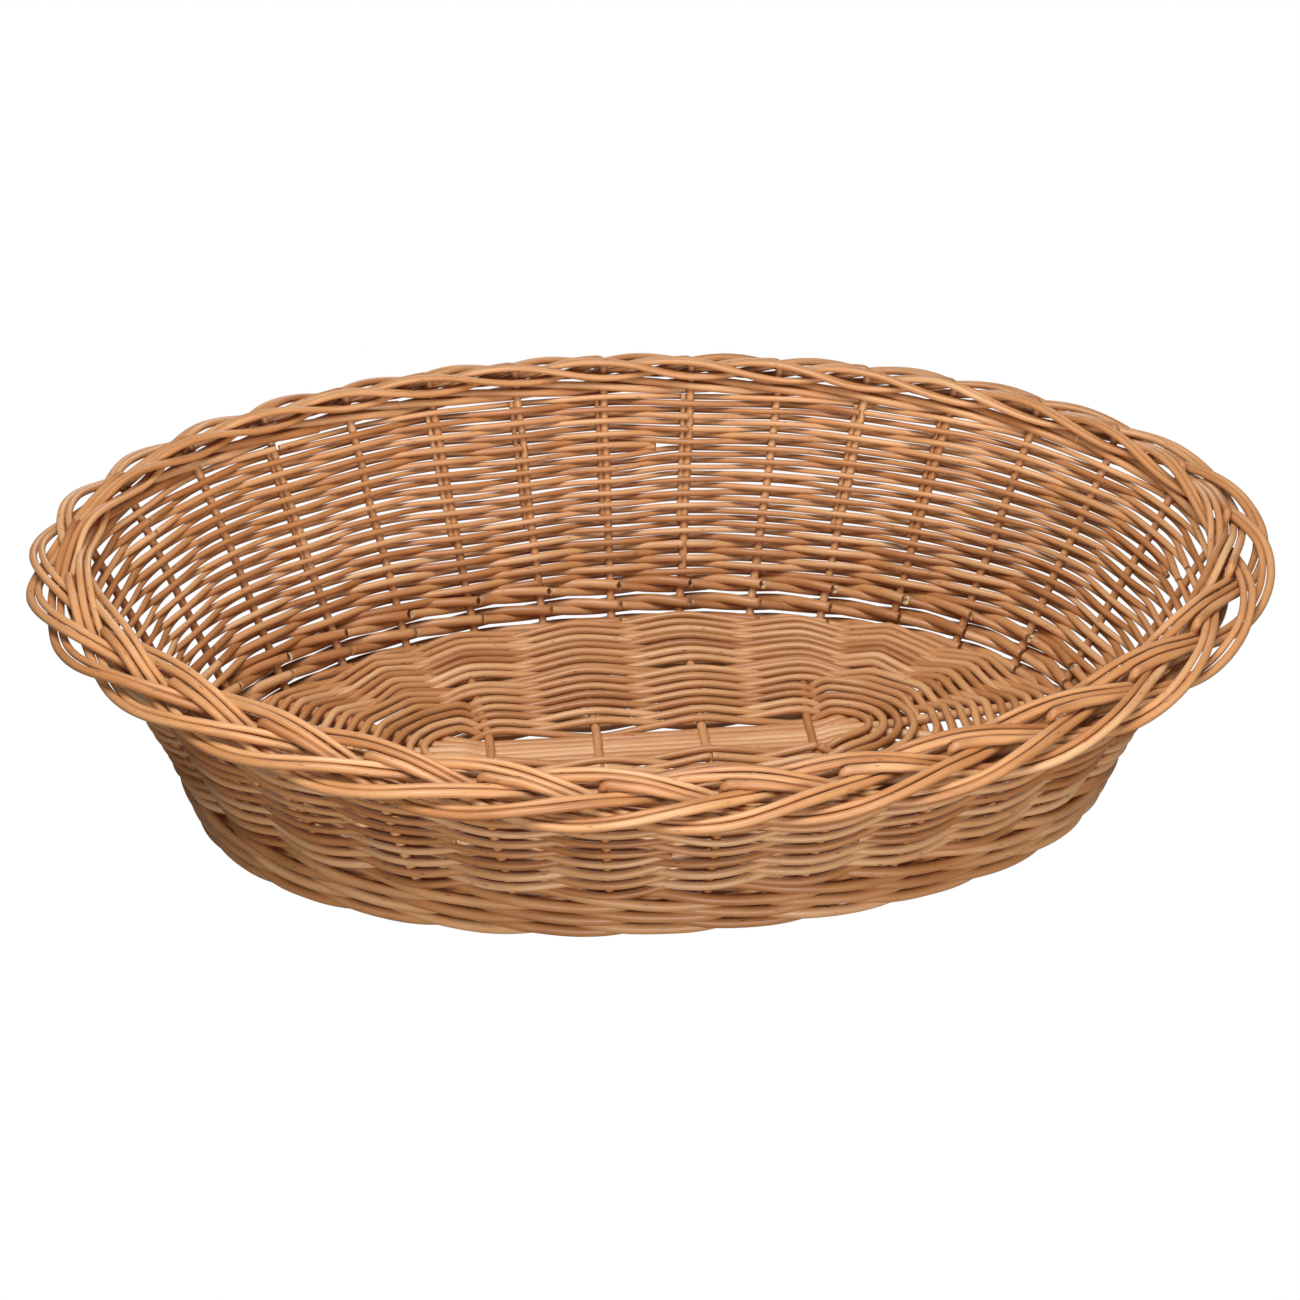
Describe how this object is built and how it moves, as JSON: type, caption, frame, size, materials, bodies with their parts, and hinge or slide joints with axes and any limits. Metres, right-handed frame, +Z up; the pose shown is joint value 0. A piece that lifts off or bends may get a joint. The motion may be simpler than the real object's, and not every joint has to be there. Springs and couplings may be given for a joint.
{
  "type": "wicker pet bed basket",
  "caption": "Low oval willow pet bed basket with a woven floor, a flared woven wall that is lower at the front, and a broad plaited border.",
  "frame": {"origin": "on the ground, under the middle of the border's outline", "axes": "+X along the long axis, +Y towards the high back wall, -Y towards the low front wall, +Z up"},
  "size_m": [0.6981, 0.4969, 0.1726],
  "materials": {
    "floor_sticks": "buff willow, satin",
    "floor_weave": "buff willow, satin",
    "stakes": "buff willow, satin",
    "wale_rods": "buff willow, satin",
    "wall_weave": "buff willow, satin"
  },
  "bodies": {
    "root": {"base_cross_sticks": "floor_sticks", "base_long_sticks": "floor_sticks", "base_weave_1": "floor_weave", "base_weave_2": "floor_weave", "base_weave_3": "floor_weave", "base_weave_4": "floor_weave", "base_weave_5": "floor_weave", "base_weave_6": "floor_weave", "base_weave_7": "floor_weave", "bye_stakes": "stakes", "foot_wale_1": "wale_rods", "foot_wale_2": "wale_rods", "foot_wale_3": "wale_rods", "packing_row_01": "wall_weave", "packing_row_02": "wall_weave", "packing_row_03": "wall_weave", "packing_row_04": "wall_weave", "packing_row_05": "wall_weave", "packing_row_06": "wall_weave", "packing_row_07": "wall_weave", "packing_row_08": "wall_weave", "packing_row_09": "wall_weave", "packing_row_10": "wall_weave", "packing_row_11": "wall_weave", "packing_row_12": "wall_weave", "packing_row_13": "wall_weave", "packing_row_14": "wall_weave", "packing_row_15": "wall_weave", "packing_row_16": "wall_weave", "side_stakes": "stakes", "top_wale": "wale_rods", "wall_row_01": "wall_weave", "wall_row_02": "wall_weave", "wall_row_03": "wall_weave", "wall_row_04": "wall_weave", "wall_row_05": "wall_weave", "wall_row_06": "wall_weave", "wall_row_07": "wall_weave", "wall_row_08": "wall_weave", "wall_row_09": "wall_weave", "wall_row_10": "wall_weave", "wall_row_11": "wall_weave", "wall_row_12": "wall_weave", "wall_row_13": "wall_weave", "wall_row_14": "wall_weave"}
  },
  "joints": []
}
